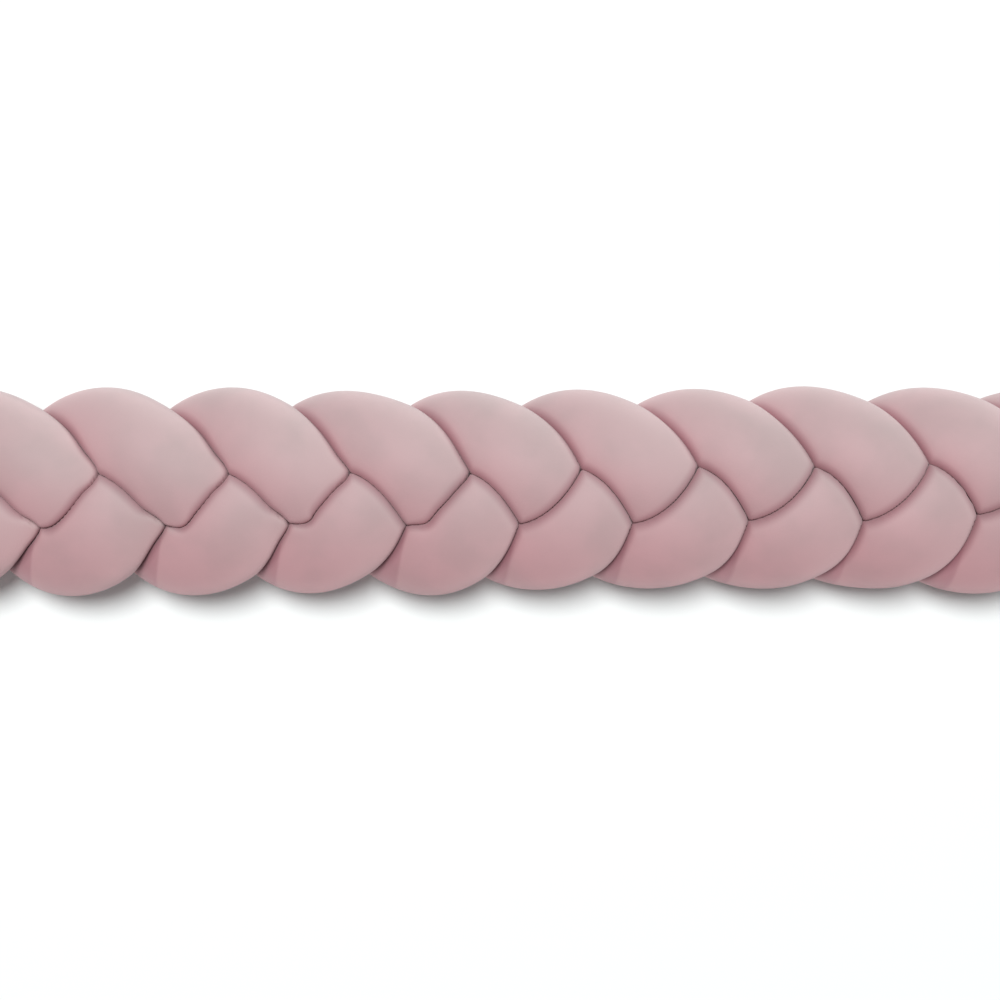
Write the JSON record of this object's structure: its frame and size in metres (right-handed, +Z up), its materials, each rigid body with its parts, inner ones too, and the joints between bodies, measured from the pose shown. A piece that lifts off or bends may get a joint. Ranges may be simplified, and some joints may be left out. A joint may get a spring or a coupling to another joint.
{
  "type": "crib bumper",
  "caption": "Plaited crib bumper: stuffed velour tubes braided into a soft flat plait with full rounded lobes, lying on its back.",
  "frame": {"origin": "middle of the underside, on the surface that the bumper lies on", "axes": "+X along the bumper, +Y across it, +Z up out of its face"},
  "size_m": [1.2, 0.1604, 0.0895],
  "materials": {
    "velour": "soft matt pile, dusty pink"
  },
  "bodies": {
    "root": {"strand_a": "velour", "strand_b": "velour", "strand_c": "velour"}
  },
  "joints": []
}
